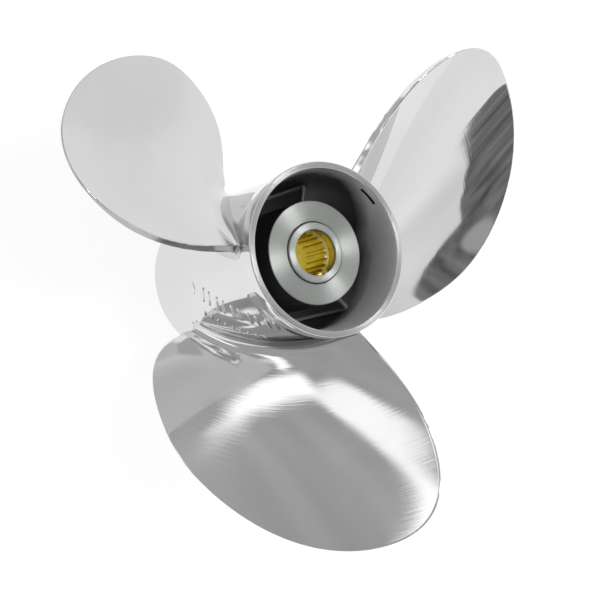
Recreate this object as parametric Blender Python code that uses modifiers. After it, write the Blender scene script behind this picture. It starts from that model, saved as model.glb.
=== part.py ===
"""Three-blade outboard propeller with through-hub exhaust, standing on its forward end.

The shaft axis is Z and points aft. Z = 0 is the forward end of the barrel, and the first blade's
reference line lies along +X. The wheel turns clockwise seen from aft, so each blade climbs aft
with the angle about +Z.
"""

from math import atan, cos, hypot, pi, radians, sin, sqrt

import bmesh
import bpy

# Driving dimensions, in millimetres. MM turns them into metres where a mesh is made.
MM = 0.001
FIT_GAP = 0.3

BLADES = 3
BARREL_LENGTH = 121.9
BARREL_RADIUS = 45.9
BARREL_BORE = 42.0
FLARE_START = 99.0
FLARE_END = 118.5
RIM_RADIUS = 48.7
RIM_BORE = 45.0
RIM_BEVEL = 0.9

HUB_FORWARD = 12.0
HUB_AFT = 108.0
HUB_RADIUS = 29.1
HUB_POCKET = 24.6
HUB_LIP_START = 99.0
HUB_LIP_BORE = 17.5

RIB_ANGLE = 50.0
RIB_THICKNESS = 3.0
RIB_FORWARD = 14.0
RIB_AFT = 88.0

SLEEVE_RADIUS = 16.3
SLEEVE_FORWARD = 13.0
SLEEVE_AFT = 107.0
SLEEVE_PILOT_BORE = 14.0
SLEEVE_COUNTERBORE = 12.9
SPLINE_TEETH = 20
SPLINE_BORE = 11.3
SPLINE_ROOT = 12.6
SPLINE_FORWARD = 78.0
SPLINE_AFT = 100.7

END_RING_RADIUS = 17.0
END_RING_THICKNESS = 2.0

# Blade: pitch and rake as laws of the radius, and the outline in the unrolled blade surface.
PITCH = 389.0
PITCH_RADIUS = 97.4
PITCH_SLOPE = -0.191
GENERATOR_HEIGHT = 74.3
GENERATOR_RADIUS = 43.8
RAKE_SLOPE = 0.1237
RAKE_CURVE = 0.001415
CAMBER = 0.001943
CUP = 1.459e-5
# (distance along the helix, radius), from the leading root round the tip to the trailing root.
OUTLINE = (
    (-54.3, 41.1),
    (-98.6, 70.9),
    (-88.2, 119.0),
    (-66.5, 138.5),
    (-11.8, 164.6),
    (55.4, 168.2),
    (71.0, 131.1),
    (58.8, 80.5),
    (24.9, 25.5),
)
LEADING_ROOT = 0.0095
TRAILING_ROOT = 0.9775
TIP = 0.60
ROOT_THICKNESS = 9.5
TIP_THICKNESS = 3.0
LEADING_THICKNESS = 1.0
TRAILING_THICKNESS = 4.5
TIP_EDGE_THICKNESS = 1.5
EDGE_TAPER_START = 118.0
TIP_RADIUS = 165.1
SHORT_CHORD = 45.0
# Near its leading edge the whole section bends forward by up to this much.
LEADING_RELIEF = 1.5
RELIEF_WIDTH = 45.0
RELIEF_STEPS = 400

TURNED_STEPS = 64
INNER_STEPS = 48
BLADE_RINGS = 20
BLADE_STATIONS = 14
ROOT_ROWS = 3
TIP_CUT = 0.985

STEEL = (0.78, 0.78, 0.78)
CAST_STEEL = (0.20, 0.20, 0.20)
BRASS = (0.66, 0.49, 0.13)
RUBBER = (0.02, 0.02, 0.02)


def clear_scene():
    for obj in list(bpy.data.objects):
        bpy.data.objects.remove(obj, do_unlink=True)


def new_collection(name):
    collection = bpy.data.collections.new(name)
    bpy.context.scene.collection.children.link(collection)
    return collection


def material(name, color, metallic, roughness):
    made = bpy.data.materials.new(name)
    made.use_nodes = True
    shader = made.node_tree.nodes["Principled BSDF"]
    shader.inputs["Base Color"].default_value = (*color, 1.0)
    shader.inputs["Metallic"].default_value = metallic
    shader.inputs["Roughness"].default_value = roughness
    return made


def add_mesh(name, mesh, collection, finish, smooth_degrees=35.0):
    obj = bpy.data.objects.new(name, mesh)
    collection.objects.link(obj)
    mesh.materials.append(finish)
    mesh.shade_smooth()
    mesh.set_sharp_from_angle(angle=radians(smooth_degrees))
    return obj


def turned(name, outline, steps, collection, finish):
    """A ring turned about Z from a closed outline of (radius, height), outer side first, downwards."""
    mesh = bpy.data.meshes.new(name)
    points = [(radius * MM, 0.0, height * MM) for radius, height in outline]
    edges = [(i, (i + 1) % len(points)) for i in range(len(points))]
    mesh.from_pydata(points, edges, [])
    obj = add_mesh(name, mesh, collection, finish)
    screw = obj.modifiers.new("Turn", "SCREW")
    screw.axis = "Z"
    screw.steps = steps
    screw.render_steps = steps
    screw.use_merge_vertices = True
    screw.merge_threshold = 0.0001
    screw.use_smooth_shade = True
    return obj


def barrel_radius(height):
    """Outer radius of the barrel: straight, then a flare that opens towards the aft rim."""
    run = min(max((height - FLARE_START) / (FLARE_END - FLARE_START), 0.0), 1.0)
    return BARREL_RADIUS + (RIM_RADIUS - BARREL_RADIUS) * run * run * (3.0 - 2.0 * run)


def bore_radius(height):
    """Inner radius of the barrel, which opens with the flare."""
    run = min(max((height - FLARE_START) / (BARREL_LENGTH - FLARE_START), 0.0), 1.0)
    return BARREL_BORE + (RIM_BORE - BARREL_BORE) * run**1.5


def make_barrel(collection, finish):
    flare = [FLARE_START + (FLARE_END - FLARE_START) * i / 6.0 for i in range(6, -1, -1)]
    bell = [FLARE_START + (BARREL_LENGTH - RIM_BEVEL - FLARE_START) * i / 5.0 for i in range(6)]
    outline = [(RIM_RADIUS - RIM_BEVEL, BARREL_LENGTH), (RIM_RADIUS, BARREL_LENGTH - RIM_BEVEL)]
    outline += [(barrel_radius(height), height) for height in flare]
    outline += [(BARREL_RADIUS, RIM_BEVEL), (BARREL_RADIUS - RIM_BEVEL, 0.0)]
    outline += [(BARREL_BORE + RIM_BEVEL, 0.0), (BARREL_BORE, RIM_BEVEL)]
    outline += [(bore_radius(height), height) for height in bell]
    outline += [(RIM_BORE + RIM_BEVEL, BARREL_LENGTH)]
    return turned("barrel", outline, TURNED_STEPS, collection, finish)


def make_inner_hub(collection, finish):
    outline = [
        (HUB_RADIUS - 0.6, HUB_AFT),
        (HUB_RADIUS, HUB_AFT - 0.6),
        (HUB_RADIUS, HUB_FORWARD + 1.0),
        (HUB_RADIUS - 1.0, HUB_FORWARD),
        (HUB_POCKET + 1.0, HUB_FORWARD),
        (HUB_POCKET, HUB_FORWARD + 1.0),
        (HUB_POCKET, HUB_LIP_START),
        (HUB_LIP_BORE, HUB_LIP_START),
        (HUB_LIP_BORE, HUB_AFT - 0.4),
        (HUB_LIP_BORE + 0.4, HUB_AFT),
    ]
    return turned("inner_hub", outline, INNER_STEPS, collection, finish)


def make_rib(number, collection, finish):
    """A flat rib along the axis, between the inner hub and the barrel."""
    inner = HUB_RADIUS + FIT_GAP
    outer = sqrt((BARREL_BORE - FIT_GAP) ** 2 - (RIB_THICKNESS / 2.0) ** 2) - 0.1
    mesh = bpy.data.meshes.new(f"rib_{number}")
    bm = bmesh.new()
    bmesh.ops.create_cube(bm, size=1.0)
    size = (outer - inner, RIB_THICKNESS, RIB_AFT - RIB_FORWARD)
    bmesh.ops.scale(bm, vec=[side * MM for side in size], verts=bm.verts)
    centre = ((inner + outer) / 2.0, 0.0, (RIB_AFT + RIB_FORWARD) / 2.0)
    bmesh.ops.translate(bm, vec=[at * MM for at in centre], verts=bm.verts)
    bm.to_mesh(mesh)
    bm.free()
    rib = add_mesh(mesh.name, mesh, collection, finish)
    bevel = rib.modifiers.new("Edge", "BEVEL")
    bevel.width = 0.6 * MM
    bevel.segments = 1
    rib.rotation_euler.z = radians(RIB_ANGLE + (number - 1) * 360.0 / BLADES)
    return rib


def make_rubber_bush(collection, finish):
    outer = HUB_POCKET - FIT_GAP
    inner = SLEEVE_RADIUS + FIT_GAP
    low = HUB_FORWARD + 4.0
    high = HUB_LIP_START - 3.0
    outline = [
        (outer - 1.5, high),
        (outer, high - 1.5),
        (outer, low + 1.5),
        (outer - 1.5, low),
        (inner, low),
        (inner, high),
    ]
    return turned("rubber_bush", outline, INNER_STEPS, collection, finish)


def make_spline_cutter(collection):
    """Square grooves all round the bore, as a broach leaves them, on one closed core."""
    mesh = bpy.data.meshes.new("spline_cutter")
    bm = bmesh.new()
    pitch = 2.0 * pi / SPLINE_TEETH
    core = SPLINE_BORE - 0.5
    corners = []
    for tooth in range(SPLINE_TEETH):
        middle = tooth * pitch
        corners += [(core, middle - 0.30 * pitch), (SPLINE_ROOT, middle - 0.22 * pitch)]
        corners += [(SPLINE_ROOT, middle + 0.22 * pitch), (core, middle + 0.30 * pitch)]
    rings = []
    for height in (SPLINE_FORWARD - 1.0, SPLINE_AFT + 1.0):
        ring = [bm.verts.new((r * cos(a) * MM, r * sin(a) * MM, height * MM)) for r, a in corners]
        rings.append(ring)
    for i in range(len(corners)):
        j = (i + 1) % len(corners)
        bm.faces.new((rings[0][i], rings[0][j], rings[1][j], rings[1][i]))
    bm.faces.new(list(reversed(rings[0])))
    bm.faces.new(rings[1])
    bm.to_mesh(mesh)
    bm.free()
    cutter = bpy.data.objects.new("spline_cutter", mesh)
    collection.objects.link(cutter)
    cutter.hide_render = True
    cutter.display_type = "WIRE"
    return cutter


def make_splined_sleeve(collection, cutters, finish):
    outline = [
        (SLEEVE_RADIUS, SLEEVE_AFT),
        (SLEEVE_RADIUS, SLEEVE_FORWARD + 0.8),
        (SLEEVE_RADIUS - 0.8, SLEEVE_FORWARD),
        (SLEEVE_PILOT_BORE + 0.8, SLEEVE_FORWARD),
        (SLEEVE_PILOT_BORE, SLEEVE_FORWARD + 0.8),
        (SLEEVE_PILOT_BORE, SPLINE_FORWARD),
        (SPLINE_BORE, SPLINE_FORWARD),
        (SPLINE_BORE, SPLINE_AFT - 0.8),
        (SPLINE_BORE + 0.8, SPLINE_AFT),
        (SLEEVE_COUNTERBORE, SPLINE_AFT),
        (SLEEVE_COUNTERBORE, SLEEVE_AFT),
    ]
    sleeve = turned("splined_sleeve", outline, INNER_STEPS, collection, finish)
    cut = sleeve.modifiers.new("Splines", "BOOLEAN")
    cut.operation = "DIFFERENCE"
    cut.object = make_spline_cutter(cutters)
    return sleeve


def make_end_ring(collection, finish):
    low = SLEEVE_AFT + FIT_GAP
    high = low + END_RING_THICKNESS
    outline = [
        (END_RING_RADIUS - 0.8, high),
        (END_RING_RADIUS - 0.2, high - 0.3),
        (END_RING_RADIUS, high - 0.9),
        (END_RING_RADIUS, low),
        (SLEEVE_COUNTERBORE, low),
        (SLEEVE_COUNTERBORE, high - 0.3),
        (SLEEVE_COUNTERBORE + 0.3, high),
    ]
    return turned("end_ring", outline, INNER_STEPS, collection, finish)


def outline_point(t):
    """A clamped cubic B-spline through OUTLINE, by de Boor's steps, at t from 0 to 1."""
    degree = 3
    spans = len(OUTLINE) - degree
    knots = [0.0] * degree + [i / spans for i in range(spans + 1)] + [1.0] * degree
    span = min(int(t * spans), spans - 1) + degree
    points = [list(OUTLINE[span - degree + i]) for i in range(degree + 1)]
    for step in range(1, degree + 1):
        for i in range(degree, step - 1, -1):
            low = knots[span - degree + i]
            high = knots[span + 1 + i - step]
            share = (t - low) / (high - low)
            for k in (0, 1):
                points[i][k] = (1.0 - share) * points[i - 1][k] + share * points[i][k]
    return points[degree]


def blend(start, end, value):
    """0 at start, 1 at end, level at both."""
    run = min(max((value - start) / (end - start), 0.0), 1.0)
    return run * run * (3.0 - 2.0 * run)


def thickness(radius, share, chord):
    """Blade thickness at a share of the chord: thin leading edge, full middle, square trailing edge."""
    fade = blend(EDGE_TAPER_START, TIP_RADIUS, radius)
    trailing = TRAILING_THICKNESS + (TIP_EDGE_THICKNESS - TRAILING_THICKNESS) * fade
    outwards = (radius - BARREL_RADIUS) / (TIP_RADIUS - BARREL_RADIUS)
    middle = ROOT_THICKNESS + (TIP_THICKNESS - ROOT_THICKNESS) * max(outwards, 0.0) ** 0.8
    straight = LEADING_THICKNESS + (trailing - LEADING_THICKNESS) * share
    hump = max(middle - (LEADING_THICKNESS + trailing) / 2.0, 0.0) * min(chord / SHORT_CHORD, 1.0)
    return straight + hump * (1.0 - (2.0 * share - 1.0) ** 2)


def blade_point(along, radius, depth):
    """Cylindrical (radius, angle, height) of a point, depth behind the pressure face."""
    pitch = PITCH + PITCH_SLOPE * (radius - PITCH_RADIUS)
    lead = atan(pitch / (2.0 * pi * radius))
    out = radius - GENERATOR_RADIUS
    height = GENERATOR_HEIGHT + along * sin(lead) + RAKE_SLOPE * out + RAKE_CURVE * out * out
    height += CAMBER * along**2 + CUP * along**3
    angle = along * cos(lead) / radius
    return radius, angle + depth * sin(lead) / radius, height - depth * cos(lead)


def leading_edge():
    """Points along the leading edge, unrolled flat, from the root to the tip."""
    return [outline_point(TIP * i / RELIEF_STEPS) for i in range(RELIEF_STEPS + 1)]


def relief(along, radius, edge):
    """How far the section bends forward at a point, by its distance from the leading edge."""
    reach = min(hypot(along - a, radius - r) for a, r in edge)
    return LEADING_RELIEF * max(1.0 - reach / RELIEF_WIDTH, 0.0) ** 2


def section(share_to_tip, depth_share, edge, on_barrel=False):
    """Points across the blade from the leading to the trailing edge, part of the thickness deep."""
    leading = outline_point(LEADING_ROOT + (TIP - LEADING_ROOT) * share_to_tip)
    trailing = outline_point(TRAILING_ROOT + (TIP - TRAILING_ROOT) * share_to_tip)
    chord = sqrt(sum((b - a) ** 2 for a, b in zip(leading, trailing)))
    points = []
    for i in range(BLADE_STATIONS + 1):
        share = 0.5 - 0.5 * cos(pi * i / BLADE_STATIONS)
        along, radius = [a + (b - a) * share for a, b in zip(leading, trailing)]
        depth = relief(along, radius, edge) + depth_share * thickness(radius, share, chord)
        radius, angle, height = blade_point(along, radius, depth)
        if on_barrel:
            radius = barrel_radius(height) + FIT_GAP
        points.append((radius * cos(angle) * MM, radius * sin(angle) * MM, height * MM))
    return points


def bridge(bm, row, next_row):
    """Quads between two rows of as many vertices."""
    for i in range(len(row) - 1):
        bm.faces.new((row[i], row[i + 1], next_row[i + 1], next_row[i]))


def make_blade(number, collection, finish):
    """A loft over the sections from the barrel to the tip, closed across both ends."""
    mesh = bpy.data.meshes.new(f"blade_{number}")
    bm = bmesh.new()
    edge = leading_edge()
    shares = [TIP_CUT * j / (BLADE_RINGS - 1) for j in range(BLADE_RINGS)]
    faces, backs = [], []
    for rows, depth_share in ((faces, 0.0), (backs, 1.0)):
        for share in shares:
            points = section(share, depth_share, edge, on_barrel=share == 0.0)
            rows.append([bm.verts.new(point) for point in points])
        for row, next_row in zip(rows, rows[1:]):
            bridge(bm, row, next_row)
    for end in (0, -1):
        bridge(bm, [row[end] for row in faces], [row[end] for row in backs])
    bridge(bm, faces[-1], backs[-1])
    root_rows = [faces[0]]
    for k in range(1, ROOT_ROWS):
        points = section(0.0, k / ROOT_ROWS, edge, on_barrel=True)
        root_rows.append([bm.verts.new(point) for point in points])
    root_rows.append(backs[0])
    for row, next_row in zip(root_rows, root_rows[1:]):
        bridge(bm, row, next_row)
    for end in (0, -1):
        bm.faces.new([row[end] for row in root_rows])
    bmesh.ops.recalc_face_normals(bm, faces=bm.faces)
    bm.to_mesh(mesh)
    bm.free()
    blade = add_mesh(mesh.name, mesh, collection, finish, 40.0)
    blade.rotation_euler.z = radians((number - 1) * 360.0 / BLADES)
    return blade


def main():
    clear_scene()
    parts = new_collection("boat_propeller")
    cutters = new_collection("cutters")
    polished = material("polished_steel", STEEL, 1.0, 0.10)
    machined = material("machined_steel", STEEL, 1.0, 0.32)
    cast = material("cast_steel", CAST_STEEL, 0.6, 0.60)
    brass = material("brass", BRASS, 1.0, 0.25)
    rubber = material("rubber", RUBBER, 0.0, 0.75)
    make_barrel(parts, polished)
    make_inner_hub(parts, machined)
    for number in range(1, BLADES + 1):
        make_rib(number, parts, cast)
        make_blade(number, parts, polished)
    make_rubber_bush(parts, rubber)
    make_splined_sleeve(parts, cutters, brass)
    make_end_ring(parts, machined)


main()
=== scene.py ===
"""The looks of the boat propeller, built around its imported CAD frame.

Lengths are in millimetres until a mesh is made. Z is the shaft axis and points aft, and the
wheel stands on its forward end at Z = 0. Blade 1's reference line lies along +X.
"""
from math import ceil, cos, pi, radians, sin, sqrt

import bmesh
import bpy
import numpy as np
from mathutils import Matrix, Vector


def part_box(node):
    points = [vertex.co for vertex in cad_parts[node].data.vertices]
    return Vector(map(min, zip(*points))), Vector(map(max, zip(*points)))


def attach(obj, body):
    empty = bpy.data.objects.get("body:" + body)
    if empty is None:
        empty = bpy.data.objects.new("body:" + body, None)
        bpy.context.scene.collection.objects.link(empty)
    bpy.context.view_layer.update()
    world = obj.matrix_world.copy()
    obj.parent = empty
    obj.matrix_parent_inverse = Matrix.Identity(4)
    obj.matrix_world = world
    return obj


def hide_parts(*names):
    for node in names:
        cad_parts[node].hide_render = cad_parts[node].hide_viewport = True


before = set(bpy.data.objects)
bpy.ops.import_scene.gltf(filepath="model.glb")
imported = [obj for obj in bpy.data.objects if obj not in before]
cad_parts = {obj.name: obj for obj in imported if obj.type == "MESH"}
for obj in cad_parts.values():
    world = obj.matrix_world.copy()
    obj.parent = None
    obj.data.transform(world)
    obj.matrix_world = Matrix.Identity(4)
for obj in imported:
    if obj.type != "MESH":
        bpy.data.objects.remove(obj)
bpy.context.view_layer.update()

MM = 0.001
BLADES = 3
WHEEL = "wheel"
SLEEVE = "shaft_sleeve"


def high(node, axis):
    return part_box(node)[1][axis] / MM


def low(node, axis):
    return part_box(node)[0][axis] / MM


# Sizes taken from the frame.
BARREL_LENGTH = high("barrel", 2)
RIM_RADIUS = high("barrel", 0)
HUB_RADIUS = high("inner_hub", 0)
HUB_AFT = high("inner_hub", 2)
HUB_FORWARD = low("inner_hub", 2)
BUSH_AFT = high("rubber_bush", 2)
BUSH_FORWARD = low("rubber_bush", 2)
SLEEVE_RADIUS = high("splined_sleeve", 0)
SLEEVE_AFT = high("splined_sleeve", 2)
SLEEVE_FORWARD = low("splined_sleeve", 2)
RING_RADIUS = high("end_ring", 0)
RING_AFT = high("end_ring", 2)
RIB_AFT = high("rib_1", 2)
RIB_FORWARD = low("rib_1", 2)

# Sizes that a box can't tell, the same as the CAD's.
BARREL_RADIUS = 45.9
BARREL_BORE = 42.0
FLARE_START = 99.0
FLARE_END = 118.5
RIM_BORE = 45.0
HUB_POCKET = 24.6
HUB_LIP_START = 99.0
HUB_LIP_BORE = 17.5
RIB_ANGLE = 50.0
RIB_THICKNESS = 3.0
PILOT_BORE = 14.0
COUNTERBORE = 12.9
SPLINE_TEETH = 20
SPLINE_BORE = 11.3
SPLINE_ROOT = 12.6
SPLINE_FORWARD = 78.0
SPLINE_AFT = 100.7

# The blade's laws, the same as the CAD's. OUTLINE is (along, radius) on the unrolled blade, and
# TIP is the share of it at which the leading side ends.
PITCH = 389.0
PITCH_RADIUS = 97.4
PITCH_SLOPE = -0.191
GENERATOR_HEIGHT = 74.3
GENERATOR_RADIUS = 43.8
RAKE_SLOPE = 0.1237
RAKE_CURVE = 0.001415
CAMBER = 0.001943
CUP = 1.459e-5
OUTLINE = (
    (-54.3, 41.1),
    (-98.6, 70.9),
    (-88.2, 119.0),
    (-66.5, 138.5),
    (-11.8, 164.6),
    (55.4, 168.2),
    (71.0, 131.1),
    (58.8, 80.5),
    (24.9, 25.5),
)
TIP = 0.60
TIP_RADIUS = 165.1
ROOT_THICKNESS = 9.5
TIP_THICKNESS = 3.0
LEADING_THICKNESS = 1.0
TRAILING_THICKNESS = 4.5
TIP_EDGE_THICKNESS = 1.5
EDGE_TAPER_START = 118.0
SHORT_CHORD = 45.0
LEADING_RELIEF = 1.5
RELIEF_WIDTH = 45.0

# Where the trailing edge's own root stands, on the flare.
TRAILING_ROOT_RADIUS = 47.3

# A cast ridge on the pressure face, where the full fillet of the leading root ends.
RIDGE_START = (-68.0, 56.5)
RIDGE_END = (-27.0, 65.0)
RIDGE_RISE = 1.9
RIDGE_WIDTH = 5.4
RIDGE_NARROWING = 0.55
RIDGE_SINKING = 0.4

# A balancing notch ground into the bore just inside the rim.
NOTCH_ANGLE = -104.0
NOTCH_SPAN = 15.0
NOTCH_LOW = 115.9
NOTCH_HIGH = 117.9
NOTCH_DEPTH = 2.0

# Raised cast marks on the barrel, plain bars and a round boss: (angle, height, length, width, slant).
MARK_RISE = 0.8
MARK_SINK = 0.1
MARK_FOOT = -0.5
MARK_SLANT = 124.5
MARKS = [(45.3, 43.6, 8.5, 8.5, MARK_SLANT)]
MARKS += [(54.5 + 8.8 * k + side * 1.9, 56.5 + 10.4 * k + side * 2.2, 10.0, 1.9, MARK_SLANT)
          for k in range(5) for side in (-1.0, 1.0)]
MARKS += [(66.5 + 4.3 * k, 45.8 + 3.7 * k, 3.6, 1.3, MARK_SLANT) for k in range(9)]

# The root fillet's radius at mid chord and at the two edges, and the rounding of the edges.
FILLET_FACE = 8.0
FILLET_LEADING = 6.5
FILLET_TRAILING = 3.5
EDGE_ROUND = 0.8
EDGE_ROUND_SHARE = 0.42

# How deep a blade's root sits in the barrel's wall, and how far up it follows the flare.
ROOT_EMBED = 0.8
FLARE_REACH = 30.0

# A blade is pulled in by this much per 100 mm beyond a radius, to stay inside the faceted CAD blade.
TIP_ALLOWANCE = 0.12
ALLOWANCE_START = 60.0

# Half a spline groove, and the run of its flank, as shares of the step from tooth to tooth.
GROOVE_HALF = 0.29
GROOVE_FLANK = 0.06

# How finely the visible surfaces are made.
TURN_STEPS = 256
BARREL_STEPS = 384
BUSH_STEPS = 128
STEPS_PER_TOOTH = 20
CHORD_STATIONS = 64
BLADE_RINGS = 110
FILLET_RINGS = 10


# ---------------------------------------------------------------- meshes


def add_object(name, points, faces, smooth_degrees=32.0, turn=0.0):
    """A mesh object from millimetre points, smooth but for its sharp edges."""
    angle = radians(turn)
    spin = np.array([[cos(angle), -sin(angle), 0], [sin(angle), cos(angle), 0], [0, 0, 1]])
    mesh = bpy.data.meshes.new(name)
    mesh.from_pydata((np.asarray(points) @ spin.T * MM).tolist(), [], faces)
    mesh.update()
    bm = bmesh.new()
    bm.from_mesh(mesh)
    bmesh.ops.recalc_face_normals(bm, faces=bm.faces)
    bm.to_mesh(mesh)
    bm.free()
    mesh.shade_smooth()
    mesh.set_sharp_from_angle(angle=radians(smooth_degrees))
    obj = bpy.data.objects.new(name, mesh)
    bpy.context.scene.collection.objects.link(obj)
    return obj


def rounded(corners):
    """A closed outline with arcs at its corners, from (radius, height, fillet) triples."""
    points = []
    count = len(corners)
    for i in range(count):
        before = np.array(corners[i - 1][:2])
        here = np.array(corners[i][:2])
        after = np.array(corners[(i + 1) % count][:2])
        fillet = corners[i][2]
        if fillet == 0.0:
            points.append(here)
            continue
        back = (before - here) / np.linalg.norm(before - here)
        on = (after - here) / np.linalg.norm(after - here)
        half = 0.5 * np.arccos(np.clip(back @ on, -1.0, 1.0))
        reach = fillet / np.tan(half)
        centre = here + (back + on) / np.linalg.norm(back + on) * fillet / np.sin(half)
        start = here + back * reach - centre
        end = here + on * reach - centre
        turn = np.arctan2(start[0] * end[1] - start[1] * end[0], start @ end)
        steps = max(2, ceil(abs(turn) / radians(15.0)))
        for k in range(steps + 1):
            a = turn * k / steps
            points.append(centre + np.array([start[0] * cos(a) - start[1] * sin(a),
                                             start[0] * sin(a) + start[1] * cos(a)]))
    return points


def turned(name, outline, steps=TURN_STEPS, radius_at=None):
    """A closed outline of (radius, height) points turned about Z.

    radius_at(index, radius, angle) may change the radius of outline point `index` round the turn.
    """
    angles = np.arange(steps) * 2.0 * pi / steps
    rows = []
    for index, (radius, height) in enumerate(outline):
        radii = np.full(steps, radius)
        if radius_at is not None:
            radii = radius_at(index, radii, angles)
        rows.append(np.stack([radii * np.cos(angles), radii * np.sin(angles),
                              np.full(steps, height)], 1))
    faces = []
    count = len(outline)
    for i in range(count):
        j = (i + 1) % count
        for k in range(steps):
            m = (k + 1) % steps
            faces.append((i * steps + k, i * steps + m, j * steps + m, j * steps + k))
    return add_object(name, np.concatenate(rows), faces)


def loft_faces(rows, count):
    """The faces between rows of count points each, every row a closed ring."""
    faces = []
    for j in range(rows - 1):
        for i in range(count):
            k = (i + 1) % count
            faces.append((j * count + i, j * count + k, (j + 1) * count + k, (j + 1) * count + i))
    return faces


def assign(obj, materials, pick=None):
    """Gives obj its materials. pick(centre, normal) in millimetres says which one a face takes."""
    obj.data.materials.clear()
    for made in materials:
        obj.data.materials.append(made)
    if pick is not None:
        for face in obj.data.polygons:
            face.material_index = pick(face.center / MM, face.normal)


# ---------------------------------------------------------------- blade surface


def outline_point(t):
    """A clamped cubic B-spline over OUTLINE, by de Boor's steps, at t from 0 to 1."""
    degree = 3
    spans = len(OUTLINE) - degree
    knots = [0.0] * degree + [i / spans for i in range(spans + 1)] + [1.0] * degree
    span = min(int(t * spans), spans - 1) + degree
    points = [list(OUTLINE[span - degree + i]) for i in range(degree + 1)]
    for step in range(1, degree + 1):
        for i in range(degree, step - 1, -1):
            start = knots[span - degree + i]
            end = knots[span + 1 + i - step]
            share = (t - start) / (end - start)
            for k in (0, 1):
                points[i][k] = (1.0 - share) * points[i - 1][k] + share * points[i][k]
    return points[degree]


def blend(start, end, value):
    """0 at start, 1 at end, level at both."""
    run = np.clip((value - start) / (end - start), 0.0, 1.0)
    return run * run * (3.0 - 2.0 * run)


def barrel_radius(height):
    """Outer radius of the barrel: straight, then the flare towards the aft rim."""
    return BARREL_RADIUS + (RIM_RADIUS - BARREL_RADIUS) * blend(FLARE_START, FLARE_END, height)


def bore_radius(height):
    """Inner radius of the barrel: straight, then opening towards the rim."""
    run = np.clip((height - FLARE_START) / (BARREL_LENGTH - FLARE_START), 0.0, 1.0)
    return BARREL_BORE + (RIM_BORE - BARREL_BORE) * run**1.5


def blade_point(along, radius, depth):
    """Cylindrical angle and height of points that lie depth behind the pressure face."""
    pitch = PITCH + PITCH_SLOPE * (radius - PITCH_RADIUS)
    lead = np.arctan(pitch / (2.0 * pi * radius))
    out = radius - GENERATOR_RADIUS
    height = GENERATOR_HEIGHT + along * np.sin(lead) + RAKE_SLOPE * out + RAKE_CURVE * out * out
    height = height + CAMBER * along**2 + CUP * along**3 - depth * np.cos(lead)
    angle = along * np.cos(lead) / radius + depth * np.sin(lead) / radius
    return angle, height


EDGE_T = np.linspace(0.0, 1.0, 1601)
EDGE = np.array([outline_point(t) for t in EDGE_T])
LEADING_SIDE = EDGE_T <= TIP


def edge_at_radius(radius, leading):
    """The outline's parameter where its leading or trailing side has this radius, near the root."""
    near = LEADING_SIDE if leading else ~LEADING_SIDE
    t, v = EDGE_T[near], EDGE[near, 1]
    order = np.argsort(v)
    return float(np.interp(radius, v[order], t[order]))


def edge_distance(along, radius, edge=EDGE):
    """Distance from each point of the unrolled blade to the outline, or to one side of it."""
    gap = np.hypot(along[:, None] - edge[None, :, 0], radius[:, None] - edge[None, :, 1])
    return gap.min(axis=1)


def blade_thickness(radius, share, chord):
    """Thin leading edge, full middle, square trailing edge that thins towards the tip."""
    fade = blend(EDGE_TAPER_START, TIP_RADIUS, radius)
    trailing = TRAILING_THICKNESS + (TIP_EDGE_THICKNESS - TRAILING_THICKNESS) * fade
    outwards = np.maximum((radius - BARREL_RADIUS) / (TIP_RADIUS - BARREL_RADIUS), 0.0)
    middle = ROOT_THICKNESS + (TIP_THICKNESS - ROOT_THICKNESS) * outwards**0.8
    straight = LEADING_THICKNESS + (trailing - LEADING_THICKNESS) * share
    hump = np.maximum(middle - (LEADING_THICKNESS + trailing) / 2.0, 0.0)
    hump = hump * min(chord / SHORT_CHORD, 1.0)
    return straight + hump * (1.0 - (2.0 * share - 1.0) ** 2)


def root_ridge(along, radius):
    """Height of the ridge that runs inwards from the leading root, widest at the leading edge."""
    run = np.array(RIDGE_END) - np.array(RIDGE_START)
    share = ((along - RIDGE_START[0]) * run[0] + (radius - RIDGE_START[1]) * run[1]) / (run @ run)
    held = np.clip(share, 0.0, 1.0)
    away = np.hypot(along - RIDGE_START[0] - held * run[0], radius - RIDGE_START[1] - held * run[1])
    width = RIDGE_WIDTH * (1.0 - RIDGE_NARROWING * held)
    rise = RIDGE_RISE * (1.0 - RIDGE_SINKING * held)
    return rise * blend(1.0, 0.7, share) * np.exp(-(away / width) ** 2)


def blade_contour(leading_t, trailing_t):
    """Once round a section: (along, radius, depth, share), pressure face first, then the back."""
    leading = np.array(outline_point(leading_t))
    trailing = np.array(outline_point(trailing_t))
    chord = float(np.linalg.norm(trailing - leading))
    share = 0.5 - 0.5 * np.cos(pi * np.arange(CHORD_STATIONS + 1) / CHORD_STATIONS)
    along = leading[0] + (trailing[0] - leading[0]) * share
    radius = leading[1] + (trailing[1] - leading[1]) * share
    thick = blade_thickness(radius, share, chord)
    corner = np.minimum(EDGE_ROUND, EDGE_ROUND_SHARE * thick)
    inside = np.clip(edge_distance(along, radius) / corner, 0.0, 1.0)
    lift = corner * (1.0 - np.sqrt(1.0 - (1.0 - inside) ** 2))
    wall = np.array([0.25, 0.5, 0.75])
    reach = edge_distance(along, radius, EDGE[LEADING_SIDE])
    relief = LEADING_RELIEF * np.clip(1.0 - reach / RELIEF_WIDTH, 0.0, 1.0) ** 2
    low_face, high_face = relief + lift - root_ridge(along, radius), relief + thick - lift
    trail_wall = low_face[-1] + (high_face[-1] - low_face[-1]) * wall
    lead_wall = high_face[0] + (low_face[0] - high_face[0]) * wall
    depth = np.concatenate([low_face, trail_wall, high_face[::-1], lead_wall])
    ends = np.ones(len(wall))
    along = np.concatenate([along, ends * along[-1], along[::-1], ends * along[0]])
    radius = np.concatenate([radius, ends * radius[-1], radius[::-1], ends * radius[0]])
    share = np.concatenate([share, ends, share[::-1], ends * 0.0])
    return along, radius, depth, share


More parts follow.
